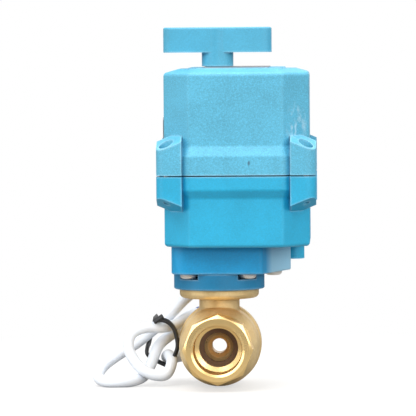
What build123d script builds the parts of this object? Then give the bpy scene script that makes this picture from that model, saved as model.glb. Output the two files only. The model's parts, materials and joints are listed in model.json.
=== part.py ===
"""Motorized valve actuator: a blue plastic quarter-turn actuator on a brass 3/4-inch two-way ball valve.

The geometry is drawn with the ball centre at (0, 0, 0): the flow bore runs along Y, the stem axis is Z and
the valve stands upright, shown open. On export everything is shifted so that the origin of the frame is the
centre of the front port's mouth. All lengths are millimetres.
"""

from build123d import *
import math
import os

# ---------------------------------------------------------------- driving dimensions
# Valve, 3/4 inch parallel pipe thread
PORT_REACH = 32.0  # ball centre to port face
OCTAGON_FLATS = 32.0
OCTAGON_LENGTH = 15.0
THREAD_MINOR_R = 12.06
THREAD_MAJOR_R = 13.22
THREAD_DEPTH = 14.5
LIP_R = 9.6  # shoulder that keeps a seat ring in
SEAT_OUTER_R, SEAT_INNER_R = 11.5, 7.2
SEAT_NEAR_Y, SEAT_FAR_Y = 8.2, 13.6
BALL_R = 12.5
BALL_MOUTH_R, BALL_THROAT_R = 5.4, 3.65
CHAMBER_R = 13.2
BARREL_R, RIM_R = 19.8, 20.6
JOINT_Y, JOINT_R = 15.0, 15.6  # end adapter screwed into the body
STEM_R = 4.5
COLLAR_POCKET_R, COLLAR_POCKET_TOP_Z = 6.5, 17.0
NECK_R = 10.0
PAD_R, PAD_BOTTOM_Z, PAD_TOP_Z = 19.6, 23.7, 30.5
PAD_SCREW_RADIUS = 14.3

# Actuator foot: a round yoke ring on the valve pad, and a square pedestal on the ring
RING_R, RING_BOTTOM_Z, RING_TOP_Z = 22.4, 28.3, 36.4
PEDESTAL_HALF, PEDESTAL_CORNER_R = 22.9, 8.0
LOBE_FRONT = (21.8, -PEDESTAL_HALF)
LOBE_REAR = (37.3, 18.0)
FOOT_SCREW_XY = 14.5
FOOT_HEAD_R, FOOT_HEAD_H = 4.2, 2.5
LOBE_SCREW = (26.7, 11.0)
FOOT_BORE_R = 9.5

# Housing: an octagonal box whose centre is offset from the stem axis
HOUSING_X = 9.7
HOUSING_HALF = 35.5
CORNER_CUT = 12.6
WALL = 2.6
BAND = 2.3  # how far the skirt band stands out from the walls
HOUSING_BOTTOM_Z, FLOOR_TOP_Z = 50.2, 53.2
LOWER_SKIRT_Z = (74.2, 78.2)
PARTING_Z, PARTING_GAP = 85.2, 0.6
UPPER_SKIRT_Z = (94.8, 99.6)
COVER_SHOULDER_Z, PLATEAU_Z, ROOF_Z = 135.0, 136.9, 133.9
BEVEL = 6.8
PANEL_HALF, PANEL_RISE = 23.4, 0.6
BEND_R, SHOULDER_R = 2.4, 2.0  # rounding of the skirt's bends and of the cover's shoulder
LUG_INNER, LUG_OUTER, LUG_R = 26.3, 38.8, 5.0
LUG_SCREW = 33.9
LUG_SLOPE = 0.58
LUG_TOP_Z, LUG_BOTTOM_Z = 104.6, 67.8  # where the slopes meet the corner faces

# Handle
BAR_LENGTH, BAR_BOTTOM_Z, BAR_TOP_Z = 53.4, 144.9, 157.3
BAR_HUB_R, BAR_TIP_HALF = 7.8, 6.6
HANDLE_STEM_BOTTOM_Z = 138.1
SHANK_R, SHANK_BOTTOM_Z = 6.3, 119.0
SHAFT_SQUARE = 6.0

# Gear train: teeth, module and headings of the centre lines
PRESSURE_ANGLE = math.radians(25)
BACKLASH = 0.08
OUTPUT_TEETH, OUTPUT_MODULE = 48, 0.8
WHEEL_TEETH, WHEEL_MODULE = 36, 0.6
PINION_TEETH = 12
COMPOUND_HEADING = math.radians(0)
MOTOR_HEADING = math.radians(-60)

# Frame plates and shaft inside the housing
LOWER_PLATE_Z = (58.0, 60.0)
UPPER_PLATE_Z = (77.0, 79.0)
SHAFT_R, SHAFT_TOP_Z = 5.0, 116.0
BUSH_R, BUSH_FLANGE_R = 7.0, 9.0
AXLE_R = 2.0
PLATE_LOW, PLATE_HIGH = (-22.0, -29.0), (40.0, 29.0)
POST_SPOTS = [(-15.5, -24.5), (-15.5, 24.5), (30.0, 24.5), (13.0, -24.5)]
BOARD_Z = (98.0, 99.6)
BOARD_LOW, BOARD_HIGH = (-22.0, -28.0), (18.0, 28.0)
BOARD_POSTS = [(-19.0, -17.0), (-19.0, 17.0), (14.0, 24.5), (14.5, -17.5)]

# Limit switches beside the shaft
LEVER_PIN_X, LEVER_Y = -7.0, 12.1
NOSE_X, NOSE_Y = 4.9, 11.4
NOSE_HEADING = math.degrees(math.atan2(NOSE_Y, NOSE_X))
CLOSED_LEVEL, OPEN_LEVEL = 80.5, 86.5  # undersides of the two switches
CAM_RISE = 0.7
SWITCH_HEIGHT = 5.6

# Cable
CABLE_R = 2.75
GLAND_X, GLAND_Y = 5.0, 29.2
CABLE_STRETCHES = 4
TIE_PLACE = 0.9  # share of the cable's length
CABLE_REST_Z = -RIM_R + CABLE_R + 0.2
SPARE_X, SPARE_Y = 36.8, 24.0

RUNNING = 0.05  # radial clearance of turning and sliding fits
TO_FRAME = Pos(0, PORT_REACH, 0)
LOW = (Align.CENTER, Align.CENTER, Align.MIN)

COMPOUND_DISTANCE = OUTPUT_MODULE * (OUTPUT_TEETH + PINION_TEETH) / 2
MOTOR_DISTANCE = WHEEL_MODULE * (WHEEL_TEETH + PINION_TEETH) / 2
COMPOUND_X = COMPOUND_DISTANCE * math.cos(COMPOUND_HEADING)
COMPOUND_Y = COMPOUND_DISTANCE * math.sin(COMPOUND_HEADING)
MOTOR_X = COMPOUND_X + MOTOR_DISTANCE * math.cos(MOTOR_HEADING)
MOTOR_Y = COMPOUND_Y + MOTOR_DISTANCE * math.sin(MOTOR_HEADING)


# ---------------------------------------------------------------- helpers
def rod(radius, z_low, z_high, x=0.0, y=0.0):
    """Upright cylinder between two heights."""
    return Pos(x, y, z_low) * Cylinder(radius, z_high - z_low, align=LOW)


def tube(outer, inner, z_low, z_high, x=0.0, y=0.0):
    """Upright tube between two heights."""
    return rod(outer, z_low, z_high, x, y) - rod(inner, z_low - 1, z_high + 1, x, y)


def block(low, high):
    """Box between two opposite corners."""
    size = [b - a for a, b in zip(low, high)]
    return Pos(*low) * Box(*size, align=(Align.MIN, Align.MIN, Align.MIN))


def outline(points):
    """Flat face inside a closed polygon."""
    return make_face(Polyline(*points, close=True))


def raised(face, z_low, z_high):
    """Upright prism on a flat face."""
    return Pos(0, 0, z_low) * extrude(face, z_high - z_low, dir=(0, 0, 1))


def turned(points):
    """Solid of revolution about the flow axis from (distance along Y, radius) points."""
    return revolve(outline([(r, y) for y, r in points]), axis=Axis.Y)


def along_flow(radius, y_low, y_high):
    """Cylinder on the flow axis."""
    return turned([(y_low, 0), (y_low, radius), (y_high, radius), (y_high, 0)])


def group(shapes):
    """Several separate solids kept in one node."""
    return Compound([solid for shape in shapes for solid in shape.solids()])


def merged(shapes):
    """Union of several shapes."""
    total = shapes[0]
    for shape in shapes[1:]:
        total += shape
    return total


def four(x, y=None):
    """The four places (+-x, +-y) round the origin."""
    y = x if y is None else y
    return [(sx * x, sy * y) for sx in (-1, 1) for sy in (-1, 1)]


def pan_screw(shank_r, length, head_r, head_h):
    """Pan-head cross-recess screw: seat at z = 0, shank upward, head below."""
    head = Pos(0, 0, -head_h) * Cylinder(head_r, head_h, align=LOW)
    head = fillet(head.edges().group_by(Axis.Z)[0], head_h * 0.7)
    slots = [Rot(0, 0, turn) * Box(head_r * 1.1, head_r * 0.26, head_h, align=LOW) for turn in (45, 135)]
    head -= Pos(0, 0, -head_h * 1.5) * merged(slots)
    return head + Cylinder(shank_r, length, align=LOW)


# ---------------------------------------------------------------- valve
def port_end(y_inner):
    """Octagonal front port end with turned bevels, from the face back to y_inner."""
    corner_r = OCTAGON_FLATS / 2 / math.cos(math.pi / 8)
    flats = Rot(90, 0, 0) * extrude(RegularPolygon(corner_r, 8), PORT_REACH)
    face_r = OCTAGON_FLATS / 2 - 0.5
    bevel = (corner_r - face_r) * math.tan(math.radians(30))
    cone = [(-PORT_REACH, 0), (-PORT_REACH, face_r), (-PORT_REACH + bevel, corner_r)]
    cone += [(y_inner - bevel, corner_r), (y_inner, face_r), (y_inner, 0)]
    return flats & turned(cone)


def port_bore():
    """Threaded bore with its mouth chamfer, down to the seat shoulder."""
    depth_y = THREAD_DEPTH - PORT_REACH
    mouth = (THREAD_MAJOR_R - THREAD_MINOR_R) * math.tan(math.radians(30))
    bore = [(-PORT_REACH - 1, 0), (-PORT_REACH - 1, THREAD_MAJOR_R), (-PORT_REACH, THREAD_MAJOR_R)]
    bore += [(-PORT_REACH + mouth, THREAD_MINOR_R)]
    bore += [(depth_y, THREAD_MINOR_R), (depth_y + 0.8, LIP_R), (-SEAT_NEAR_Y, LIP_R), (-SEAT_NEAR_Y, 0)]
    return turned(bore)


def valve_body():
    octagon_end_y = OCTAGON_LENGTH - PORT_REACH
    barrel = [(octagon_end_y - 1, 0), (octagon_end_y - 1, 15.2), (octagon_end_y + 0.5, 16.4), (-12.0, 18.8)]
    barrel += [(-8.0, BARREL_R), (5.0, BARREL_R), (6.2, RIM_R), (13.0, RIM_R), (JOINT_Y, 19.4), (JOINT_Y, 0)]
    body = port_end(octagon_end_y) + turned(barrel)
    body += rod(NECK_R, 0, PAD_BOTTOM_Z + 1)
    pad = rod(PAD_R, PAD_BOTTOM_Z, PAD_TOP_Z)
    body += fillet(pad.edges().group_by(Axis.Z)[0], 2.2)
    body -= port_bore()
    body -= along_flow(SEAT_OUTER_R + RUNNING, -SEAT_FAR_Y, 0)
    body -= along_flow(CHAMBER_R, -SEAT_NEAR_Y + 0.5, JOINT_Y)
    body -= along_flow(JOINT_R, 9.5, JOINT_Y + 1)
    body -= rod(COLLAR_POCKET_R, 0, COLLAR_POCKET_TOP_Z)
    body -= rod(STEM_R + RUNNING, 0, PAD_TOP_Z + 1)
    for turn in range(4):
        x, y = polar(PAD_SCREW_RADIUS, 90 * turn)
        body -= rod(1.95, PAD_BOTTOM_Z + 1, PAD_TOP_Z + 1, x, y)
    return body


def polar(radius, degrees):
    """Point at a distance and heading from the stem axis."""
    return radius * math.cos(math.radians(degrees)), radius * math.sin(math.radians(degrees))


def end_adapter():
    end = Rot(0, 0, 180) * (port_end(-JOINT_Y - 0.1) - port_bore())
    nose = along_flow(JOINT_R - RUNNING, 9.6, JOINT_Y + 2) - along_flow(LIP_R, 5, JOINT_Y + 3)
    flange = along_flow(18.2, JOINT_Y + 0.1, JOINT_Y + 2.5) - along_flow(LIP_R, 5, JOINT_Y + 3)
    return end + flange + nose - along_flow(SEAT_OUTER_R + RUNNING, 0, SEAT_FAR_Y)


def seat_rings():
    near, far = SEAT_NEAR_Y + RUNNING, SEAT_FAR_Y - RUNNING
    ring = turned([(near, SEAT_INNER_R), (near, SEAT_OUTER_R), (far, SEAT_OUTER_R), (far, SEAT_INNER_R)])
    ring -= Sphere(BALL_R + RUNNING)
    return group([ring, Rot(0, 0, 180) * ring])


def ball():
    reach = BALL_R + 1
    bore = [(-reach, 0), (-reach, BALL_MOUTH_R), (-7.5, BALL_MOUTH_R), (-5.0, BALL_THROAT_R)]
    bore += [(-y, r) for y, r in reversed(bore)]
    slot = block((-2.6, -7.0, 9.4), (2.6, 7.0, BALL_R + 1))
    return Sphere(BALL_R) - turned(bore) - slot


def valve_stem():
    tongue = block((-2.5, -5.5, 9.5), (2.5, 5.5, 13.5))
    stem = tongue + rod(6.2, 13.0, 15.2) + rod(STEM_R, 15.0, 34.0)
    stem += block((-3, -3, 33), (3, 3, 42))
    for z in (19.0, 22.5):
        stem -= tube(STEM_R + 1, 3.2, z, z + 1.4)
    return stem


def stem_o_rings():
    return group([Pos(0, 0, z + 0.7) * Torus(3.9, 0.6) for z in (19.0, 22.5)])


def stem_washer():
    return tube(COLLAR_POCKET_R - RUNNING, STEM_R + 0.1, 15.3, COLLAR_POCKET_TOP_Z - 0.05)


# ---------------------------------------------------------------- actuator foot
def foot_screw_spots():
    """Screws that hold the ring and pedestal to the housing floor; one of them stands in the lobe."""
    return four(FOOT_SCREW_XY) + [LOBE_SCREW]


def yoke_ring():
    ring = rod(RING_R, RING_BOTTOM_Z, RING_TOP_Z) - rod(PAD_R + RUNNING, RING_BOTTOM_Z - 1, PAD_TOP_Z)
    ring = chamfer(ring.edges().group_by(Axis.Z)[0], 0.4)
    ring -= rod(FOOT_BORE_R + 0.5, PAD_TOP_Z - 1, RING_TOP_Z + 1)
    recess_r, recess_z = FOOT_HEAD_R + 0.5, RING_TOP_Z - FOOT_HEAD_H - 0.3
    for x, y in four(FOOT_SCREW_XY):
        ring -= rod(recess_r, recess_z, RING_TOP_Z + 1, x, y)
        outwards = y + math.copysign(RING_R / 2, y)
        ring -= Pos(x, outwards, recess_z) * Box(2 * recess_r, RING_R, RING_R, align=LOW)
    for turn in range(4):
        x, y = polar(PAD_SCREW_RADIUS, 90 * turn)
        ring -= rod(2.2, PAD_TOP_Z - 1, RING_TOP_Z + 1, x, y) + rod(3.9, 33.0, RING_TOP_Z + 1, x, y)
    return ring


def pad_screws():
    one = Rot(180, 0, 0) * pan_screw(1.9, 8.0, 3.6, 2.4)
    return group([Pos(*polar(PAD_SCREW_RADIUS, 90 * turn), 33.0) * one for turn in range(4)])


def pedestal():
    plan = outline([(-PEDESTAL_HALF, -PEDESTAL_HALF), LOBE_FRONT, LOBE_REAR, (-PEDESTAL_HALF, PEDESTAL_HALF)])
    left = plan.vertices().group_by(Axis.X)[0]
    plan = fillet(left, PEDESTAL_CORNER_R)
    plan = fillet(plan.vertices().sort_by_distance(Vertex(*LOBE_FRONT, 0))[0:1], 2.0)
    plan = fillet(plan.vertices().sort_by_distance(Vertex(*LOBE_REAR, 0))[0:1], 5.0)
    body = raised(plan, RING_TOP_Z, HOUSING_BOTTOM_Z)
    body = chamfer(body.edges().group_by(Axis.Z)[0], 0.5)
    body -= rod(FOOT_BORE_R + 0.5, RING_TOP_Z - 1, HOUSING_BOTTOM_Z + 1)
    for x, y in foot_screw_spots():
        body -= rod(1.95, RING_TOP_Z - 1, HOUSING_BOTTOM_Z + 1, x, y)
    return body


def foot_screws():
    one = pan_screw(1.9, 15.6, FOOT_HEAD_R, FOOT_HEAD_H)
    return group([Pos(x, y, RING_TOP_Z) * one for x, y in foot_screw_spots()])


# ---------------------------------------------------------------- housing
def octagon(grow=0.0):
    """Octagon round the housing centre with softened corners, grown or shrunk from the walls."""
    half = HOUSING_HALF + grow
    cut = CORNER_CUT + grow * (2 - math.sqrt(2))
    corners = [(half - cut, -half), (half, -half + cut), (half, half - cut), (half - cut, half)]
    corners += [(-x, -y) for x, y in corners]
    face = Pos(HOUSING_X, 0) * outline(corners)
    return fillet(face.vertices(), max(2.6 + grow, 0.4))


def skirt(z_low, z_high, grow_low, grow_high):
    """Sloping stretch of wall between two octagon sizes."""
    return loft([Pos(0, 0, z_low) * octagon(grow_low), Pos(0, 0, z_high) * octagon(grow_high)], ruled=True)


def edges_at(shape, *heights):
    """Level edges of a shape that lie at the given heights."""
    level = shape.edges().filter_by(Plane.XY)
    return [edge for edge in level if min(abs(edge.center().Z - z) for z in heights) < 0.01]


def lug_spots():
    return [(HOUSING_X + x, y) for x, y in four(LUG_SCREW)]


def lugs(z_from, z_wall, up):
    """Four rounded corner columns from the parting plane, their free ends sloping away from the walls."""
    side = LUG_OUTER - LUG_INNER
    middle = (LUG_OUTER + LUG_INNER) / 2
    plan = Pos(middle, middle) * Rectangle(side, side)
    outer = plan.vertices().sort_by(lambda v: v.X + v.Y)[-1]
    far = z_wall + up * 10
    column = raised(fillet(outer, LUG_R), min(z_from, far), max(z_from, far))
    wall_s = (2 * HOUSING_HALF - CORNER_CUT) / math.sqrt(2)
    near_s, far_s = wall_s - 8, wall_s + 20
    slope = [(near_s, z_wall + up * LUG_SLOPE * 8), (far_s, z_wall - up * LUG_SLOPE * 20)]
    slope += [(far_s, z_wall + up * 20), (near_s, z_wall + up * 20)]
    column -= Rot(0, 0, 45) * extrude(Plane.XZ * outline(slope), 20, both=True)
    return merged([Pos(HOUSING_X, 0) * Rot(0, 0, 90 * turn) * column for turn in range(4)])


def upper_cover():
    low = PARTING_Z + PARTING_GAP / 2
    shell = raised(octagon(BAND), low, UPPER_SKIRT_Z[0]) + skirt(*UPPER_SKIRT_Z, BAND, 0)
    shell += raised(octagon(), UPPER_SKIRT_Z[1], COVER_SHOULDER_Z)
    shell += skirt(COVER_SHOULDER_Z, PLATEAU_Z, 0, -BEVEL)
    shell = fillet(edges_at(shell, *UPPER_SKIRT_Z), BEND_R)
    shell = fillet(edges_at(shell, COVER_SHOULDER_Z), SHOULDER_R)
    panel = Pos(HOUSING_X, 0) * RectangleRounded(2 * PANEL_HALF, 2 * (HOUSING_HALF - BEVEL - 1), 3)
    shell += raised(panel, PLATEAU_Z - 0.5, PLATEAU_Z + PANEL_RISE)
    shell += lugs(low, LUG_TOP_Z, 1)
    shell -= raised(octagon(-WALL), low - 1, ROOF_Z - 2)
    shell -= skirt(ROOF_Z - 2.1, ROOF_Z, -WALL, -WALL - BEVEL)
    shell += rod(11, ROOF_Z - 3, ROOF_Z + 0.5)
    shell -= rod(SHANK_R + RUNNING, ROOF_Z - 5, PLATEAU_Z + 2)
    shell -= tube(SHANK_R + 2.0, SHANK_R, PLATEAU_Z - 1.6, PLATEAU_Z + 2)
    for x, y in lug_spots():
        shell -= rod(3.5, PARTING_Z + 6, LUG_TOP_Z + 8, x, y) + rod(2.1, PARTING_Z - 1, PARTING_Z + 7, x, y)
    return shell


def lower_housing():
    top = PARTING_Z - PARTING_GAP / 2
    walls = raised(octagon(), HOUSING_BOTTOM_Z, LOWER_SKIRT_Z[0])
    walls = fillet(walls.edges().group_by(Axis.Z)[0], 1.8)
    shell = walls + skirt(*LOWER_SKIRT_Z, 0, BAND) + raised(octagon(BAND), LOWER_SKIRT_Z[1], top)
    shell = fillet(edges_at(shell, *LOWER_SKIRT_Z), BEND_R)
    shell += lugs(top, LUG_BOTTOM_Z, -1)
    shell += rod(5.2, 41.3, HOUSING_BOTTOM_Z + 2, SPARE_X, SPARE_Y)
    shell += rod(6.2, 44.0, HOUSING_BOTTOM_Z + 2, GLAND_X, GLAND_Y)
    shell -= raised(octagon(-WALL), FLOOR_TOP_Z, top + 1)
    for x, y in POST_SPOTS:
        shell += rod(3.6, FLOOR_TOP_Z - 1, LOWER_PLATE_Z[0], x, y)
        shell -= rod(1.5, FLOOR_TOP_Z, LOWER_PLATE_Z[0] + 1, x, y)
    shell += rod(11.0, FLOOR_TOP_Z - 1, FLOOR_TOP_Z + 2)
    shell -= rod(BUSH_R, HOUSING_BOTTOM_Z - 1, FLOOR_TOP_Z + 3)
    shell -= rod(3.1, 40.0, FLOOR_TOP_Z + 1, SPARE_X, SPARE_Y)
    shell -= rod(4.1, 43.0, FLOOR_TOP_Z + 1, GLAND_X, GLAND_Y)
    for x, y in foot_screw_spots():
        shell -= rod(1.95, HOUSING_BOTTOM_Z - 1, FLOOR_TOP_Z - 0.8, x, y)
    for x, y in lug_spots():
        shell -= rod(1.5, LUG_BOTTOM_Z - 5, top + 1, x, y)
    return shell


def housing_gasket():
    plan = raised(octagon(BAND - 0.5), PARTING_Z - 0.25, PARTING_Z + 0.25)
    gasket = plan - raised(octagon(-WALL + 0.3), PARTING_Z - 1, PARTING_Z + 1)
    return gasket


def cover_screws():
    one = Rot(180, 0, 0) * pan_screw(1.4, 14.0, 3.2, 2.2)
    return group([Pos(x, y, PARTING_Z + 6) * one for x, y in lug_spots()])


def top_label_plate():
    plan = Pos(HOUSING_X, 0) * RectangleRounded(32, 46, 2)
    plate = raised(plan, PLATEAU_Z + PANEL_RISE, PLATEAU_Z + PANEL_RISE + 0.4)
    return plate - rod(9.6, PLATEAU_Z, PLATEAU_Z + 2)


def side_nameplate():
    wall_x = HOUSING_X - HOUSING_HALF
    plate = block((wall_x - 0.5, -20, 101), (wall_x, 20, 113.4))
    return fillet(plate.edges().filter_by(Axis.X), 1.5)


# ---------------------------------------------------------------- gears
def involute(angle):
    return math.tan(angle) - angle


def gear(teeth, module, z_low, z_high, turn=0.0):
    """Spur gear on the Z axis with a tooth centred on heading `turn` (radians)."""
    pitch_r = teeth * module / 2
    base_r, tip_r, root_r = pitch_r * math.cos(PRESSURE_ANGLE), pitch_r + module, pitch_r - 1.25 * module
    half_tooth = math.pi / (2 * teeth) - BACKLASH / (2 * pitch_r)
    start_r = max(base_r, root_r)
    flank = []
    for step in range(5):
        r = start_r + (tip_r - start_r) * step / 4
        flank.append((r, half_tooth + involute(PRESSURE_ANGLE) - involute(math.acos(min(base_r / r, 1)))))
    if base_r > root_r:
        flank.insert(0, (root_r, flank[0][1]))
    profile = [(r, -a) for r, a in flank] + list(reversed(flank))
    points = []
    for tooth in range(teeth):
        centre = turn + 2 * math.pi * tooth / teeth
        points += [(r * math.cos(centre + a), r * math.sin(centre + a)) for r, a in profile]
    return raised(outline(points), z_low, z_high)


def facing(heading, teeth):
    """Turn that puts a tooth space on the heading back towards the driving gear."""
    return heading + math.pi + math.pi / teeth


def output_gear():
    wheel = gear(OUTPUT_TEETH, OUTPUT_MODULE, 62.0, 67.5, COMPOUND_HEADING) + rod(9, 61.0, 69.0)
    wheel -= rod(SHAFT_R, 60, 70)
    for turn in range(6):
        wheel -= rod(2.6, 61, 68, *polar(13.4, 60 * turn))
    return wheel


def compound_gear():
    gears = gear(PINION_TEETH, OUTPUT_MODULE, 61.0, 70.5, facing(COMPOUND_HEADING, PINION_TEETH))
    gears += gear(WHEEL_TEETH, WHEEL_MODULE, 70.0, 74.0, MOTOR_HEADING)
    return Pos(COMPOUND_X, COMPOUND_Y, 0) * (gears - rod(AXLE_R + RUNNING, 60, 75))


def motor_pinion():
    pinion = gear(PINION_TEETH, WHEEL_MODULE, 69.5, 75.0, facing(MOTOR_HEADING, PINION_TEETH))
    pinion += rod(1.5, 75.0, 81.0)
    return Pos(MOTOR_X, MOTOR_Y, 0) * pinion


def compound_axle():
    return rod(AXLE_R, LOWER_PLATE_Z[0], UPPER_PLATE_Z[1], COMPOUND_X, COMPOUND_Y)


# ---------------------------------------------------------------- drive line on the stem axis
def stem_coupling():
    hub = rod(FOOT_BORE_R - 0.3, 35.0, 48.5) - block((-3, -3, 34), (3, 3, 42.2))
    return hub - rod(SHAFT_R, 44.0, 50.0)


def output_shaft():
    shaft = rod(SHAFT_R, 44.0, SHAFT_TOP_Z)
    half = SHAFT_SQUARE / 2
    return shaft + block((-half, -half, SHAFT_TOP_Z), (half, half, SHAFT_TOP_Z + 14))


def flanged_bush(z_low, z_high, flange_z):
    sleeve = rod(BUSH_R, z_low, z_high) + rod(BUSH_FLANGE_R, flange_z, flange_z + 1.2)
    return sleeve - rod(SHAFT_R + RUNNING, z_low - 1, z_high + 2)


def floor_bush():
    return flanged_bush(HOUSING_BOTTOM_Z, FLOOR_TOP_Z + 2, FLOOR_TOP_Z + 2)


def plate_bush():
    return flanged_bush(UPPER_PLATE_Z[0], UPPER_PLATE_Z[1], UPPER_PLATE_Z[1])


def cam(z_low, lobe_heading):
    disc = rod(8.5, z_low, z_low + 4)
    disc += rod(3.0, z_low, z_low + 4, *polar(7.2, lobe_heading))
    return disc - rod(SHAFT_R, z_low - 1, z_low + 5)


def t_handle():
    half = BAR_LENGTH / 2
    plan = outline([(-half, -BAR_TIP_HALF), (0, -BAR_HUB_R + 0.5), (half, -BAR_TIP_HALF),
                    (half, BAR_TIP_HALF), (0, BAR_HUB_R - 0.5), (-half, BAR_TIP_HALF)])
    tips = [v for v in plan.vertices() if abs(v.X) > half - 1]
    bar = raised(fillet(tips, 4.5) + Circle(BAR_HUB_R), BAR_BOTTOM_Z, BAR_TOP_Z)
    bar = fillet(bar.edges().group_by(Axis.Z)[-1], 0.9)
    handle = bar + rod(BAR_HUB_R, HANDLE_STEM_BOTTOM_Z, BAR_BOTTOM_Z + 1) + rod(SHANK_R, SHANK_BOTTOM_Z, 139)
    socket = SHAFT_SQUARE / 2 + RUNNING
    return handle - block((-socket, -socket, SHANK_BOTTOM_Z - 1), (socket, socket, 135.0))


def handle_seal():
    return tube(SHANK_R + 1.9, SHANK_R + RUNNING, PLATEAU_Z - 1.5, PLATEAU_Z + PANEL_RISE)


# ---------------------------------------------------------------- frame, motor and electrics
def plate(z_range):
    """Gearbox side plate with the shaft, axle and post holes."""
    body = block((*PLATE_LOW, z_range[0]), (*PLATE_HIGH, z_range[1]))
    body = chamfer(body.edges().filter_by(Axis.Z), 8.0)
    body -= rod(AXLE_R, z_range[0] - 1, z_range[1] + 1, COMPOUND_X, COMPOUND_Y)
    for x, y in POST_SPOTS:
        body -= rod(1.5, z_range[0] - 1, z_range[1] + 1, x, y)
    return body


def lower_plate():
    return plate(LOWER_PLATE_Z) - rod(SHAFT_R + 1, 57, 61)


def upper_plate():
    return plate(UPPER_PLATE_Z) - rod(BUSH_R, 76, 80) - rod(3.0, 76, 80, MOTOR_X, MOTOR_Y)


def plate_posts():
    return group([tube(3.2, 1.5, LOWER_PLATE_Z[1], UPPER_PLATE_Z[0], x, y) for x, y in POST_SPOTS])


def plate_screws():
    one = Rot(180, 0, 0) * pan_screw(1.45, 24.0, 2.8, 2.0)
    return group([Pos(x, y, UPPER_PLATE_Z[1]) * one for x, y in POST_SPOTS])


def motor_gearbox():
    case = rod(10.0, UPPER_PLATE_Z[1], 95.0, MOTOR_X, MOTOR_Y)
    return case - rod(1.6, UPPER_PLATE_Z[1] - 1, 82.0, MOTOR_X, MOTOR_Y)


def motor():
    can = fillet(rod(10.0, 95.0, 119.0).edges().group_by(Axis.Z)[-1], 1.2) + rod(3.0, 118.5, 120.5)
    tags = [block((sx * 5.5 - 0.4, -1.2, 118.5), (sx * 5.5 + 0.4, 1.2, 123.0)) for sx in (-1, 1)]
    return Pos(MOTOR_X, MOTOR_Y, 0) * (can + merged(tags))


def switch_body(z_low, side):
    """Microswitch beside the shaft, its plunger side facing the cam."""
    low_y, high_y = sorted((side * 13.6, side * 19.6))
    body = block((-8, low_y, z_low), (8, high_y, z_low + SWITCH_HEIGHT))
    ear_low, ear_high = sorted((side * 11.2, side * 13.7))
    for z in (z_low, z_low + 5.1):
        body += block((-8, ear_low, z), (-6, ear_high, z + 0.5))
    y = side * 21
    tags = [block((x - 0.4, y - 1.5, z_low + 2), (x + 0.4, y + 1.5, z_low + 2.8)) for x in (-5, 0, 5)]
    for x in (-5.5, 5.5):
        body -= rod(1.1, z_low - 1, z_low + 7, x, side * 16.6)
    return merged([body] + tags)


def switch_screws():
    spots = [(x, side * 16.6) for x in (-5.5, 5.5) for side in (-1, 1)]
    one = Rot(180, 0, 0) * pan_screw(1.0, 6.5, 1.9, 1.4)
    return group([Pos(x, y, (OPEN_LEVEL if y > 0 else CLOSED_LEVEL) + SWITCH_HEIGHT) * one for x, y in spots])


def switch_bridge():
    """Spacers that lift the two microswitches to the height of their cams."""
    low = block((-8, -19.6, UPPER_PLATE_Z[1]), (8, -13.6, CLOSED_LEVEL))
    high = block((-8, 13.6, UPPER_PLATE_Z[1]), (8, 19.6, OPEN_LEVEL))
    cuts = merged([rod(1.1, 78, 90, x, side * 16.6) for x in (-5.5, 5.5) for side in (-1, 1)])
    return group([low - cuts, high - cuts])


def switch_lever(z_low, side):
    """Blade hinged at one end of a microswitch, with a round nose beside the cam."""
    y = side * LEVER_Y
    blade = block((LEVER_PIN_X, y - 0.2, z_low + 1.2), (6.0, y + 0.2, z_low + 4.4))
    nose = rod(0.9, z_low + 1.2, z_low + 4.4, NOSE_X, side * NOSE_Y)
    pin = rod(0.7, z_low + 0.6, z_low + 5.0, LEVER_PIN_X, y)
    return blade + nose + pin


def circuit_board():
    board = block((*BOARD_LOW, BOARD_Z[0]), (*BOARD_HIGH, BOARD_Z[1]))
    board = chamfer(board.edges().filter_by(Axis.Z), 6.0)
    board -= rod(SHAFT_R + 3, BOARD_Z[0] - 1, BOARD_Z[1] + 1)
    for x, y in BOARD_POSTS:
        board -= rod(1.3, BOARD_Z[0] - 1, BOARD_Z[1] + 1, x, y)
    return board


def board_posts():
    post = rod(2.6, UPPER_PLATE_Z[1], BOARD_Z[0]) - rod(1.25, 92, 99)
    return group([Pos(x, y, 0) * post for x, y in BOARD_POSTS])


def board_screws():
    one = Rot(180, 0, 0) * pan_screw(1.2, 6.0, 2.3, 1.6)
    return group([Pos(x, y, BOARD_Z[1]) * one for x, y in BOARD_POSTS])


def relay():
    case = block((-19, -12, BOARD_Z[1]), (-10.5, 6, BOARD_Z[1] + 13))
    return chamfer(case.edges().group_by(Axis.Z)[-1], 0.5)


def capacitors():
    return group([rod(3.2, BOARD_Z[1], BOARD_Z[1] + 11, x, y) for x, y in ((2.0, -19.0), (-6.0, -19.0))])


def terminal_block():
    strip = block((-8, 17.0, BOARD_Z[1]), (9, 25.0, BOARD_Z[1] + 9))
    for step in range(3):
        x = -5.2 + 5.7 * step
        strip -= rod(1.7, BOARD_Z[1] + 6, BOARD_Z[1] + 10, x, 20.5)
        strip -= block((x - 1.6, 23.0, BOARD_Z[1] + 1), (x + 1.6, 26.0, BOARD_Z[1] + 4.5))
    return strip


# ---------------------------------------------------------------- cable
def cable_gland():
    nut = raised(Pos(GLAND_X, GLAND_Y) * RegularPolygon(7.0, 6), 39.5, 44.0)
    gland = nut + rod(4.0, 43.5, FLOOR_TOP_Z + 0.8, GLAND_X, GLAND_Y)
    return gland - rod(CABLE_R + 0.3, 38, 60, GLAND_X, GLAND_Y)


def blanking_plug():
    return rod(3.0, 42.0, FLOOR_TOP_Z, SPARE_X, SPARE_Y)


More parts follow.
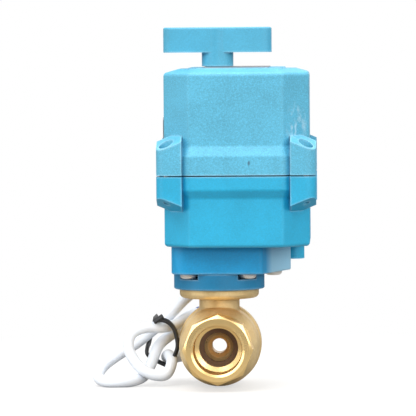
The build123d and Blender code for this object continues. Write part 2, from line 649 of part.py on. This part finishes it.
def cable_path():
    """Centre line: down out of the gland, a wide turn to the left on the floor, then a tied coil."""
    drop = [(GLAND_X, GLAND_Y, z) for z in (58, 52, 46, 40)]
    drop += [(-1, 29, 31.5), (-11, 28, 26), (-18, 26.5, 21), (-25, 24, 14)]
    reach = [(-32, 21, 7.5), (-42, 19, -0.5), (-51.5, 17, -6.5), (-58.5, 12, -11.5), (-60.8, 4, -15.8)]
    floor = [(-57.5, -3, CABLE_REST_Z), (-50.5, -5.5, CABLE_REST_Z), (-43.5, -2, CABLE_REST_Z)]
    middle = [(-38.2, 5, -16), (-34.8, 9.5, -10.5), (-31.2, 13.2, -1.8), (-25.5, 20, 3)]
    behind = [(-21.5, 30, 4), (-16, 39, 1), (-16, 40, -7), (-23, 31, -9), (-27.3, 20, -8)]
    under = [(-26, 12, -6), (-24.2, 5.2, -9.3), (-27, 0.2, -14.8), (-34, -1.2, -14.4)]
    front = [(-40.5, 0, -10.3), (-45.3, 3, -2.5), (-44, 4.5, 5), (-37, 6, 8.2)]
    out = [(-28.5, 9, 8), (-22, 20, 9), (-17, 34, 11.5), (-14, 43, 12.5)]
    knots = drop + reach + floor + middle + behind + under + front + out
    return Spline(*knots)


def cable():
    """The jacket, swept in stretches so that its section stays square to the centre line."""
    stretches = []
    for step in range(CABLE_STRETCHES):
        path = cable_path().trim(step / CABLE_STRETCHES, (step + 1) / CABLE_STRETCHES)
        stretches.append(sweep(Plane(origin=path @ 0, z_dir=path % 0) * Circle(CABLE_R), path=path))
    return merged(stretches)


def cable_leads():
    """Three short insulated leads that come out of the cable's free end."""
    path = cable_path()
    end = Plane(origin=path @ 1, z_dir=path % 1)
    spots = [polar(1.25, 120 * turn) for turn in range(3)]
    return group([end * rod(0.7, 0.1, 9 + x, x, y) for x, y in spots])


def cable_tie():
    """Black tie band round the coil."""
    path = cable_path()
    band = Circle(CABLE_R + 1.2) - Circle(CABLE_R + 0.4)
    return extrude(Plane(origin=path @ TIE_PLACE, z_dir=path % TIE_PLACE) * band, 1.0, both=True)


def parts():
    """Every node of the assembly by name."""
    plain = [
        valve_body, end_adapter, seat_rings, ball, valve_stem, stem_o_rings, stem_washer, pad_screws,
        yoke_ring, pedestal, foot_screws, lower_housing, upper_cover, housing_gasket, cover_screws,
        top_label_plate, side_nameplate, stem_coupling, output_shaft, output_gear, compound_gear,
        motor_pinion, compound_axle, floor_bush, plate_bush, t_handle, handle_seal, lower_plate,
        upper_plate, plate_posts, plate_screws, motor_gearbox, motor, switch_screws, switch_bridge,
        circuit_board, board_posts, board_screws, relay, capacitors, terminal_block, cable_gland,
        blanking_plug, cable, cable_leads, cable_tie,
    ]
    named = {make.__name__: make() for make in plain}
    named["closed_cam"] = cam(CLOSED_LEVEL + CAM_RISE, 90 - NOSE_HEADING)
    named["open_cam"] = cam(OPEN_LEVEL + CAM_RISE, NOSE_HEADING)
    for name, level, side in (("closed", CLOSED_LEVEL, -1), ("open", OPEN_LEVEL, 1)):
        named[f"{name}_switch"] = switch_body(level, side)
        named[f"{name}_switch_lever"] = switch_lever(level, side)
    return named


if __name__ == "__main__":
    os.makedirs("parts", exist_ok=True)
    for name, shape in parts().items():
        export_step(TO_FRAME * shape, f"parts/{name}.step")
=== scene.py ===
"""Studio scene of the motorized valve actuator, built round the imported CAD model. Units are metres."""
import json
import math

import bpy
from mathutils import Matrix, Vector


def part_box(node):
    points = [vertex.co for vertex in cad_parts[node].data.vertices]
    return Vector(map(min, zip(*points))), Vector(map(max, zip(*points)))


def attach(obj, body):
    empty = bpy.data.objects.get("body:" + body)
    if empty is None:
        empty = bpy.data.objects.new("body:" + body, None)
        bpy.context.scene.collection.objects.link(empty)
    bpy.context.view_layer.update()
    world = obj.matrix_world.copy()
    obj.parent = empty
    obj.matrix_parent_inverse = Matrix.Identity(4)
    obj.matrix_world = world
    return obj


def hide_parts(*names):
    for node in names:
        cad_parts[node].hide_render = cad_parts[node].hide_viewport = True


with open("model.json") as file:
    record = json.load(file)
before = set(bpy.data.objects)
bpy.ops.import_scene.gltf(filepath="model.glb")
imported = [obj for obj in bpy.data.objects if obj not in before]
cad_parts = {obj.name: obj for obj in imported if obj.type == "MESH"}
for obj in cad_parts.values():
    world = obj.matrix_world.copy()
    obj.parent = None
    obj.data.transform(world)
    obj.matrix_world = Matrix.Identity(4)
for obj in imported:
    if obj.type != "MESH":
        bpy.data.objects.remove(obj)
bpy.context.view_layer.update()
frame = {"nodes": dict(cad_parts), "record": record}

MM = 0.001
STEM_Y = sum(corner.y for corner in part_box("valve_stem")) / 2
FLOOR_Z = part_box("valve_body")[0].z
FRONT_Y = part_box("valve_body")[0].y
REAR_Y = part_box("end_adapter")[1].y

# Pipe thread
THREAD_ROOT_R = 12.10 * MM
THREAD_CREST_R = 11.70 * MM
THREAD_PITCH = 1.814 * MM
THREAD_TURNS = 7

# Studio light
TENT_LIGHT = 0.85
TENT_REFLECTION = 1.0
FLOOR_GLOW = 0.6

# Height either side of the flow axis that is machined
MACHINED_R = 18 * MM

# Cable
CABLE_R = 2.75 * MM
TIE_WIDTH = 2.2 * MM
TIE_THICKNESS = 1.2 * MM


def at(x, y, z):
    """Point in millimetres: x from the stem axis, y behind it, z above the flow axis."""
    return Vector((x * MM, STEM_Y + y * MM, z * MM))


# ---------------------------------------------------------------- materials
def linear(red, green, blue):
    """Linear colour from 0..255 display values."""
    out = []
    for value in (red, green, blue):
        v = value / 255
        out.append(v / 12.92 if v <= 0.04045 else ((v + 0.055) / 1.055) ** 2.4)
    return out


def scaled(color, gain):
    return [min(1.0, c * gain) for c in color]


class Shader:
    """A node material with a Principled surface and the helpers that the finishes share."""

    def __init__(self, name):
        self.material = bpy.data.materials.new(name)
        self.material.use_nodes = True
        self.nodes = self.material.node_tree.nodes
        self.links = self.material.node_tree.links
        self.surface = self.nodes["Principled BSDF"]
        self.place = self.nodes.new("ShaderNodeTexCoord").outputs["Object"]

    def put(self, socket, value):
        if hasattr(value, "is_output"):
            self.links.new(value, socket)
        elif isinstance(value, (list, tuple)):
            socket.default_value = (*value, 1.0)
        else:
            socket.default_value = value

    def surface_input(self, name, value):
        self.put(self.surface.inputs[name], value)

    def noise(self, scale, detail=3.0, roughness=0.55, stretch=(1, 1, 1)):
        mapping = self.nodes.new("ShaderNodeMapping")
        mapping.inputs["Scale"].default_value = stretch
        self.links.new(self.place, mapping.inputs["Vector"])
        node = self.nodes.new("ShaderNodeTexNoise")
        node.inputs["Scale"].default_value = scale
        node.inputs["Detail"].default_value = detail
        node.inputs["Roughness"].default_value = roughness
        self.links.new(mapping.outputs["Vector"], node.inputs["Vector"])
        return node.outputs["Fac"]

    def ramp(self, value, low, high, to_low=0.0, to_high=1.0):
        node = self.nodes.new("ShaderNodeMapRange")
        node.clamp = True
        self.put(node.inputs["Value"], value)
        for socket, number in zip(("From Min", "From Max", "To Min", "To Max"), (low, high, to_low, to_high)):
            node.inputs[socket].default_value = number
        return node.outputs["Result"]

    def mix(self, factor, first, second):
        node = self.nodes.new("ShaderNodeMix")
        node.data_type = "RGBA"
        self.put(node.inputs["Factor"], factor)
        self.put(node.inputs[6], first)
        self.put(node.inputs[7], second)
        return node.outputs[2]

    def blend(self, factor, first, second):
        """Mix of two single values."""
        node = self.nodes.new("ShaderNodeMix")
        self.put(node.inputs["Factor"], factor)
        self.put(node.inputs[2], first)
        self.put(node.inputs[3], second)
        return node.outputs[0]

    def spot(self, center, radius, squeeze):
        """1 at a point given in millimetres from the stem axis, falling to 0 at the radius."""
        node = self.nodes.new("ShaderNodeVectorMath")
        node.operation = "SUBTRACT"
        self.links.new(self.place, node.inputs[0])
        node.inputs[1].default_value = at(*center)
        shaped = self.nodes.new("ShaderNodeVectorMath")
        shaped.operation = "DIVIDE"
        self.links.new(node.outputs[0], shaped.inputs[0])
        shaped.inputs[1].default_value = [radius * MM * s for s in squeeze]
        length = self.nodes.new("ShaderNodeVectorMath")
        length.operation = "LENGTH"
        self.links.new(shaped.outputs[0], length.inputs[0])
        return self.ramp(length.outputs["Value"], 1.0, 0.4)

    def math(self, operation, first, second=0.0):
        node = self.nodes.new("ShaderNodeMath")
        node.operation = operation
        self.put(node.inputs[0], first)
        self.put(node.inputs[1], second)
        return node.outputs[0]

    def along(self, axis):
        node = self.nodes.new("ShaderNodeSeparateXYZ")
        self.links.new(self.place, node.inputs[0])
        return node.outputs[axis]

    def edges(self, radius):
        """0 on open faces, rising to 1 on edges."""
        bevel = self.nodes.new("ShaderNodeBevel")
        bevel.samples = 4
        bevel.inputs["Radius"].default_value = radius
        geometry = self.nodes.new("ShaderNodeNewGeometry")
        dot = self.nodes.new("ShaderNodeVectorMath")
        dot.operation = "DOT_PRODUCT"
        self.links.new(bevel.outputs["Normal"], dot.inputs[0])
        self.links.new(geometry.outputs["Normal"], dot.inputs[1])
        return self.ramp(dot.outputs["Value"], 0.995, 0.80)

    def bump(self, height, strength, distance):
        node = self.nodes.new("ShaderNodeBump")
        node.inputs["Strength"].default_value = strength
        node.inputs["Distance"].default_value = distance
        self.put(node.inputs["Height"], height)
        self.links.new(node.outputs["Normal"], self.surface.inputs["Normal"])


def moulded_plastic(name, color, roughness=0.46, edge_highlight_strength=0.42, mottle=0.10, grain=0.35, speckle=0.25,
                    marks=False, lit_beyond_x=None):
    """Moulded plastic: fine spark-eroded grain, cloudy colour and paler edges that are a painted highlight.
    """
    shader = Shader(name)
    cloud = shader.noise(60, 4, 0.6)
    speck = shader.noise(1500, 3, 0.75)
    tone = shader.mix(shader.ramp(cloud, 0.3, 0.7), scaled(color, 1 - mottle), scaled(color, 1 + mottle))
    tone = shader.mix(shader.ramp(speck, 0.51, 0.66, 0, speckle), tone, scaled(color, 1.50))
    tone = shader.mix(shader.ramp(speck, 0.48, 0.33, 0, speckle), tone, scaled(color, 0.62))
    # Painted highlight: edges are mixed towards a pale blue, thinned by a cloud noise, to stand in for the
    # light that rounded edges catch.
    edge_highlight_mask = shader.math("MULTIPLY", shader.edges(1.6 * MM), shader.ramp(cloud, 0.35, 0.7, 0.45, 1.0))
    tone = shader.mix(shader.math("MULTIPLY", edge_highlight_mask, edge_highlight_strength), tone, (0.60, 0.80, 0.90))
    # Painted light: beyond the given x the plastic is painted paler, for the light falling on the side that
    # faces right.
    if lit_beyond_x:
        right_side_painted_light = shader.ramp(shader.along("X"), lit_beyond_x - 1.5 * MM, lit_beyond_x + 1.5 * MM, 0, 0.80)
        tone = shader.mix(right_side_painted_light, tone, linear(160, 205, 225))
    if marks:
        scuff = shader.spot((38.0, -27.0, 110.0), 8.0, (1.0, 1.2, 1.6))
        streaks = shader.ramp(shader.noise(260, 4, 0.7, (1, 1, 0.5)), 0.50, 0.62, 0, 0.42)
        tone = shader.mix(shader.math("MULTIPLY", scuff, streaks), tone, (0.66, 0.84, 0.92))
        nick = shader.spot((16.0, -37.8, 91.4), 0.8, (1.0, 3.0, 1.9))
        tone = shader.mix(shader.math("MULTIPLY", nick, 0.8), tone, linear(60, 90, 110))
    shader.surface_input("Base Color", tone)
    shader.surface_input("Roughness", shader.ramp(speck, 0.3, 0.7, roughness - 0.06, roughness + 0.10))
    shader.surface_input("IOR", 1.50)
    shader.bump(shader.noise(1300, 2, 0.6), grain, 0.10 * MM)
    return shader.material


def cast_and_machined_brass(name, machined_low, machined_high):
    """Shot-blasted brass, bright and finely turned on the two ends outside the range of Y given."""
    shader = Shader(name)
    y = shader.along("Y")
    ends = shader.math("MAXIMUM", shader.math("LESS_THAN", y, machined_low),
                       shader.math("GREATER_THAN", y, machined_high))
    beside_bore = shader.math("LESS_THAN", shader.math("ABSOLUTE", shader.along("Z")), MACHINED_R)
    bright = shader.math("MULTIPLY", ends, beside_bore)
    patina = shader.noise(70, 5, 0.65)
    grit = shader.noise(1400, 3, 0.6)
    cast = shader.mix(shader.ramp(patina, 0.35, 0.7), linear(231, 206, 156), linear(209, 177, 122))
    cast = shader.mix(shader.ramp(grit, 0.50, 0.72, 0, 0.30), cast, linear(252, 230, 180))
    sheen = shader.noise(45, 1, 0.4)
    turned = shader.mix(shader.ramp(sheen, 0.35, 0.7), linear(252, 218, 152), linear(242, 204, 136))
    shader.surface_input("Base Color", shader.mix(bright, cast, turned))
    shader.surface_input("Metallic", shader.ramp(bright, 0, 1, 0.82, 0.96))
    smooth = shader.ramp(sheen, 0.3, 0.7, 0.25, 0.31)
    rough = shader.ramp(grit, 0.3, 0.7, 0.42, 0.58)
    shader.surface_input("Roughness", shader.blend(bright, rough, smooth))
    rings = shader.noise(500, 2, 0.5, (0.05, 8, 0.05))
    height = shader.blend(bright, grit, shader.math("MULTIPLY", rings, 0.04))
    shader.bump(height, 0.30, 0.12 * MM)
    return shader.material


def metal(name, color, roughness=0.3, scale=300, stretch=(1, 1, 1), metallic=1.0):
    """Plain metal with a fine directional finish."""
    shader = Shader(name)
    streak = shader.noise(scale, 3, 0.6, stretch)
    cloud = shader.noise(90, 4, 0.6)
    shader.surface_input("Base Color", shader.mix(shader.ramp(cloud, 0.3, 0.7), color, scaled(color, 0.8)))
    shader.surface_input("Metallic", metallic)
    shader.surface_input("Roughness", shader.ramp(streak, 0.3, 0.7, roughness - 0.08, roughness + 0.10))
    shader.bump(streak, 0.15, 0.05 * MM)
    return shader.material


def soft(name, color, roughness=0.5, scale=600, bump=0.2, variation=0.12):
    """Rubber, jacket or laminate: low contrast colour and a fine surface."""
    shader = Shader(name)
    cloud = shader.noise(scale / 6, 4, 0.6)
    darker, lighter = scaled(color, 1 - variation), scaled(color, 1 + variation)
    tone = shader.mix(shader.ramp(cloud, 0.3, 0.7), darker, lighter)
    shader.surface_input("Base Color", tone)
    shader.surface_input("Roughness", shader.ramp(cloud, 0.3, 0.7, roughness - 0.05, roughness + 0.08))
    shader.bump(shader.noise(scale, 2, 0.5), bump, 0.05 * MM)
    return shader.material


def material_set():
    """One material per slot of the record."""
    steel = linear(190, 190, 188)
    return {
        "brass_body": cast_and_machined_brass("brass_body", FRONT_Y + 15.5 * MM, REAR_Y - 15.5 * MM),
        "ball_brass": metal("ball_brass", linear(252, 222, 164), 0.34, 200, metallic=0.5),
        "stem_brass": metal("stem_brass", linear(224, 184, 110), 0.25, 400, (1, 1, 12)),
        "gear_brass": metal("gear_brass", linear(224, 184, 110), 0.28),
        "bush_bronze": metal("bush_bronze", linear(170, 120, 70), 0.5, 900),
        "seat_plastic": soft("seat_plastic", linear(104, 78, 52), 0.45, 500),
        "seal_rubber": soft("seal_rubber", linear(38, 38, 40), 0.7, 700),
        "screw_steel": metal("screw_steel", linear(236, 230, 222), 0.36, 500, metallic=0.35),
        "shaft_steel": metal("shaft_steel", steel, 0.28, 500, (1, 1, 10)),
        "gear_steel": metal("gear_steel", scaled(steel, 0.8), 0.42, 700),
        "plate_steel": metal("plate_steel", steel, 0.34, 300, (12, 1, 1)),
        "motor_steel": metal("motor_steel", scaled(steel, 0.9), 0.3, 400, (1, 1, 0.1)),
        "label_aluminium": metal("label_aluminium", linear(150, 152, 155), 0.42, 500, (20, 1, 1)),
        "cover_plastic": moulded_plastic("cover_plastic", linear(86, 171, 200), speckle=0.55, marks=True),
        "lower_plastic": moulded_plastic("lower_plastic", linear(33, 164, 203)),
        "handle_plastic": moulded_plastic("handle_plastic", linear(72, 161, 191)),
        # The pedestal's lobe beyond x = 25 mm gets a painted light.
        "pedestal_plastic": moulded_plastic("pedestal_plastic", linear(0, 145, 198), lit_beyond_x=25 * MM),
        "ring_plastic": moulded_plastic("ring_plastic", linear(2, 115, 158)),
        "gear_plastic": soft("gear_plastic", linear(232, 228, 212), 0.45, 500),
        "cam_plastic": soft("cam_plastic", linear(200, 60, 50), 0.45, 500),
        "black_plastic": soft("black_plastic", linear(34, 34, 36), 0.45, 600),
        "board_green": soft("board_green", linear(30, 110, 62), 0.3, 500),
        "relay_blue": soft("relay_blue", linear(40, 84, 160), 0.35, 400),
        "terminal_green": soft("terminal_green", linear(60, 150, 90), 0.4, 400),
        "cable_white": soft("cable_white", linear(232, 237, 244), 0.42, 500, 0.25, 0.03),
        "lead_insulation": soft("lead_insulation", linear(190, 60, 50), 0.4, 500),
    }


MATERIALS = material_set()
# Rounding of the plastic shells' edges, in millimetres
BEVELLED = {"upper_cover": 0.5, "lower_housing": 0.5, "t_handle": 0.5, "pedestal": 0.35, "yoke_ring": 0.3}


def dress_cad_nodes():
    """Gives every CAD node its slot's material and softens the edges of the large shells."""
    for part in frame["record"]["subparts"]:
        node = frame["nodes"][part["node"]]
        node.data.materials.clear()
        node.data.materials.append(MATERIALS[part["material_slot"]])
        width = BEVELLED.get(part["node"])
        if width:
            bevel = node.modifiers.new("soft_edges", "BEVEL")
            bevel.width = width * MM
            bevel.segments = 3
            bevel.limit_method = "ANGLE"
            bevel.angle_limit = math.radians(28)
            bevel.harden_normals = True
            bevel.use_clamp_overlap = True


# ---------------------------------------------------------------- mesh helpers
def mesh_piece(name, points, faces, slot, body="housing", smooth=True):
    """A mesh object with its material, riding on a CAD body."""
    mesh = bpy.data.meshes.new(name)
    mesh.from_pydata([tuple(p) for p in points], [], faces)
    mesh.update()
    for polygon in mesh.polygons:
        polygon.use_smooth = smooth
    piece = bpy.data.objects.new(name, mesh)
    bpy.context.scene.collection.objects.link(piece)
    mesh.materials.append(MATERIALS[slot])
    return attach(piece, body)


def swept(path, section):
    """Points and faces of a closed section carried along a path with a frame that doesn't twist."""
    count, sides = len(path), len(section)
    tangent = (path[1] - path[0]).normalized()
    side = tangent.orthogonal().normalized()
    points, faces = [], []
    for index, place in enumerate(path):
        ahead, behind = path[min(index + 1, count - 1)], path[max(index - 1, 0)]
        turned = (ahead - behind).normalized()
        side = (tangent.rotation_difference(turned) @ side).normalized()
        tangent = turned
        up = tangent.cross(side)
        points += [place + side * u + up * v for u, v in section]
    for ring in range(count - 1):
        for k in range(sides):
            a, b = ring * sides + k, ring * sides + (k + 1) % sides
            faces.append((a, b, b + sides, a + sides))
    faces.append(tuple(reversed(range(sides))))
    faces.append(tuple(range((count - 1) * sides, count * sides)))
    return points, faces


def smooth_path(knots, steps):
    """Smooth curve through the knots."""
    ends = [knots[0] * 2 - knots[1], *knots, knots[-1] * 2 - knots[-2]]
    path = []
    for a, b, c, d in zip(ends, ends[1:], ends[2:], ends[3:]):
        for step in range(steps):
            t = step / steps
            path.append(0.5 * ((2 * b) + (c - a) * t + (2 * a - 5 * b + 4 * c - d) * t * t
                               + (3 * b - a - 3 * c + d) * t ** 3))
    path.append(knots[-1])
    return path


def round_section(radius, sides=20):
    return [(radius * math.cos(2 * math.pi * k / sides), radius * math.sin(2 * math.pi * k / sides))
            for k in range(sides)]


# ---------------------------------------------------------------- valve threads
def thread(name, mouth_y, inward):
    """Helical ridge of an internal pipe thread, from its mouth inwards."""
    steps_per_turn = 72
    half = THREAD_PITCH / 2
    profile = [(THREAD_ROOT_R, -half), (THREAD_CREST_R, -0.12 * half), (THREAD_CREST_R, 0.12 * half),
               (THREAD_ROOT_R, half * 0.98)]
    total = THREAD_TURNS * steps_per_turn
    points, faces = [], []
    for step in range(total + 1):
        angle = 2 * math.pi * step / steps_per_turn * -inward
        fade = min(1.0, step / 30, (total - step) / 30)
        y = mouth_y + inward * (1.6 * MM + THREAD_PITCH * step / steps_per_turn)
        for radius, offset in profile:
            r = THREAD_ROOT_R + (radius - THREAD_ROOT_R) * fade
            points.append((r * math.cos(angle), y + offset, r * math.sin(angle)))
    for step in range(total):
        for k in range(4):
            a, b = step * 4 + k, step * 4 + (k + 1) % 4
            faces.append((a, b, b + 4, a + 4))
    faces += [(3, 2, 1, 0), tuple(total * 4 + k for k in range(4))]
    return mesh_piece(name, points, faces, "brass_body", smooth=False)


# ---------------------------------------------------------------- cable
def cable_knots():
    """Centre line: down out of the gland, along the floor to the left, then a loose knot of two loops."""
    rest = FLOOR_Z / MM + CABLE_R / MM + 0.2
    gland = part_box("cable_gland")
    x = (gland[0].x + gland[1].x) / 2 / MM
    y = ((gland[0].y + gland[1].y) / 2 - STEM_Y) / MM
    drop = [at(x, y, 58), at(x, y, 52), at(x, y, 46), at(x, y, 40)]
    drop += [at(-1, 29, 31.5), at(-11, 28, 26), at(-18, 26.5, 21), at(-25, 24, 14)]
    reach = [at(-32, 21, 7.5), at(-42, 19, -0.5), at(-51.5, 17, -6.5), at(-58.5, 12, -11.5)]
    floor = [at(-60.8, 4, -15.8), at(-57.5, -3, rest), at(-50.5, -5.5, rest), at(-43.5, -2, rest)]
    middle = [at(-38.2, 5, -16), at(-34.8, 9.5, -10.5), at(-31.2, 13.2, -1.8), at(-25.5, 20, 3)]
    behind = [at(-21.5, 30, 4), at(-16, 39, 1), at(-16, 40, -7), at(-23, 31, -9), at(-27.3, 20, -8)]
    under = [at(-26, 12, -6), at(-24.2, 5.2, -9.3), at(-27, 0.2, -14.8), at(-34, -1.2, -14.4)]
    front = [at(-40.5, 0, -10.3), at(-45.3, 3, -2.5), at(-44, 4.5, 5), at(-37, 6, 8.2)]
    out = [at(-28.5, 9, 8), at(-22, 20, 9), at(-17, 34, 11.5), at(-14, 43, 12.5)]
    return drop + reach + floor + middle + behind + under + front + out


def cable():
    path = smooth_path(cable_knots(), 8)
    points, faces = swept(path, round_section(CABLE_R))
    piece = mesh_piece("cable_jacket", points, faces, "cable_white")
    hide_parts("cable")
    end, heading = path[-1], (path[-1] - path[-2]).normalized()
    side = heading.orthogonal().normalized()
    colors = ("lead_insulation", "black_plastic", "relay_blue")
    for number, slot in enumerate(colors):
        aside = Matrix.Rotation(2 * math.pi * number / 3, 3, heading) @ side
        steps = [(-1.5, 1.2), (2, 1.3), (6, 2.4), (9 + number, 2.0)]
        knots = [end + heading * along * MM + aside * off * MM for along, off in steps]
        points, faces = swept(smooth_path(knots, 6), round_section(0.72 * MM, 12))
        lead = mesh_piece(f"cable_lead_{number + 1}", points, faces, slot)
        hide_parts("cable_leads")


def tie():
    """Flat black tie pulled round the knot's strands, with its tail."""
    over = [at(-31, 3, 12), at(-28.5, 3.2, 12.2), at(-25.4, 4, 10.8), at(-22.8, 5, 7.4)]
    right = [at(-21.4, 5, 2.5), at(-21.2, 5, -1.5), at(-22.6, 6, -5.6), at(-25.5, 14.5, -11.5)]
    left = [at(-32, 16.5, -9.5), at(-36.6, 13.5, -6), at(-36.8, 15, -2.5), at(-36.2, 21, -0.5)]
    back = [at(-35.2, 25, 4), at(-33.6, 24.5, 9.5), at(-32.6, 17, 13), at(-32, 9, 13), at(-31, 3, 12)]
    tail = [at(-28.2, 1.5, 14.3), at(-30.3, 1.8, 12.8), at(-32.6, 2.4, 11.2)]
    strips = {"tie_loop": over + right + left + back, "tie_tail": tail}
    flat = [(-TIE_WIDTH / 2, -TIE_THICKNESS / 2), (TIE_WIDTH / 2, -TIE_THICKNESS / 2),
            (TIE_WIDTH / 2, TIE_THICKNESS / 2), (-TIE_WIDTH / 2, TIE_THICKNESS / 2)]
    for name, knots in strips.items():
        points, faces = swept(smooth_path(knots, 8), flat)
        piece = mesh_piece(name, points, faces, "black_plastic")
        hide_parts("cable_tie")


# ---------------------------------------------------------------- studio
def white_surround():
    """White backdrop to the camera, a bright tent in reflections and a softer light elsewhere."""
    world = bpy.data.worlds.new("studio")
    bpy.context.scene.world = world
    world.use_nodes = True
    nodes, links = world.node_tree.nodes, world.node_tree.links
    rays = nodes.new("ShaderNodeLightPath")
    background = nodes["Background"]
    background.inputs["Color"].default_value = (1, 1, 1, 1)
    strength = TENT_LIGHT
    for ray, value in (("Is Glossy Ray", TENT_REFLECTION), ("Is Camera Ray", 1.0)):
        node = nodes.new("ShaderNodeMix")
        links.new(rays.outputs[ray], node.inputs["Factor"])
        if hasattr(strength, "is_output"):
            links.new(strength, node.inputs[2])
        else:
            node.inputs[2].default_value = strength
        node.inputs[3].default_value = value
        strength = node.outputs[0]
    links.new(strength, background.inputs["Strength"])


def white_floor():
    """Plain pale floor that takes a faint shadow near the object and fades into the backdrop."""
    bpy.ops.mesh.primitive_plane_add(size=6.0, location=(0, STEM_Y, FLOOR_Z))
    floor = bpy.context.object
    floor.name = "floor"
    shader = Shader("floor_white")
    shader.surface_input("Base Color", (0.90, 0.89, 0.875))
    shader.surface_input("Roughness", 0.6)
    nodes, links = shader.nodes, shader.links
    glow = nodes.new("ShaderNodeEmission")
    links.new(nodes.new("ShaderNodeLightPath").outputs["Is Camera Ray"], glow.inputs["Strength"])
    node = nodes.new("ShaderNodeVectorMath")
    node.operation = "LENGTH"
    links.new(shader.place, node.inputs[0])
    mix = nodes.new("ShaderNodeMixShader")
    links.new(shader.ramp(node.outputs["Value"], 0.08, 0.30, FLOOR_GLOW, 1.0), mix.inputs[0])
    links.new(shader.surface.outputs[0], mix.inputs[1])
    links.new(glow.outputs[0], mix.inputs[2])
    links.new(mix.outputs[0], nodes["Material Output"].inputs["Surface"])
    floor.data.materials.append(shader.material)


def studio():
    white_surround()
    white_floor()
    area_light("key", (-0.5, -0.9, 1.1), 0.9, 10)
    area_light("top", (0.1, 0.1, 1.3), 1.2, 11)
    area_light("right", (0.9, -0.6, 0.5), 0.7, 4.5)
    area_light("left", (-1.0, -0.5, 0.3), 0.8, 4)
    area_light("front", (0.45, -1.4, 0.35), 0.3, 3.5)


def area_light(name, place, size, power):
    light = bpy.data.lights.new(name, "AREA")
    light.size = size
    light.energy = power
    lamp = bpy.data.objects.new(name, light)
    bpy.context.scene.collection.objects.link(lamp)
    lamp.location = place
    target = Vector((0, STEM_Y, 0.06))
    lamp.rotation_euler = (target - lamp.location).to_track_quat("-Z", "Y").to_euler()


def camera():
    """Long lens in front of the valve, a little to its right, at the height of the cover's top."""
    distance, eye = 1.74, 0.156
    yaw, pitch, roll = math.radians(2.0), math.radians(2.897), math.radians(-0.45)
    aim_off = math.radians(0.175)
    data = bpy.data.cameras.new("camera")
    data.sensor_width = 36
    data.lens = 304.6
    data.clip_start = 0.05
    eye_point = bpy.data.objects.new("camera", data)
    bpy.context.scene.collection.objects.link(eye_point)
    place = Vector((math.sin(yaw) * distance, STEM_Y - math.cos(yaw) * distance, eye))
    turn = Matrix.Rotation(yaw + aim_off, 4, "Z") @ Matrix.Rotation(math.pi / 2 - pitch, 4, "X")
    eye_point.matrix_world = Matrix.Translation(place) @ turn @ Matrix.Rotation(roll, 4, "Z")
    bpy.context.scene.camera = eye_point


dress_cad_nodes()
thread("front_thread", FRONT_Y, 1)
thread("rear_thread", REAR_Y, -1)
cable()
tie()
studio()
camera()
bpy.context.scene.view_settings.view_transform = "Standard"
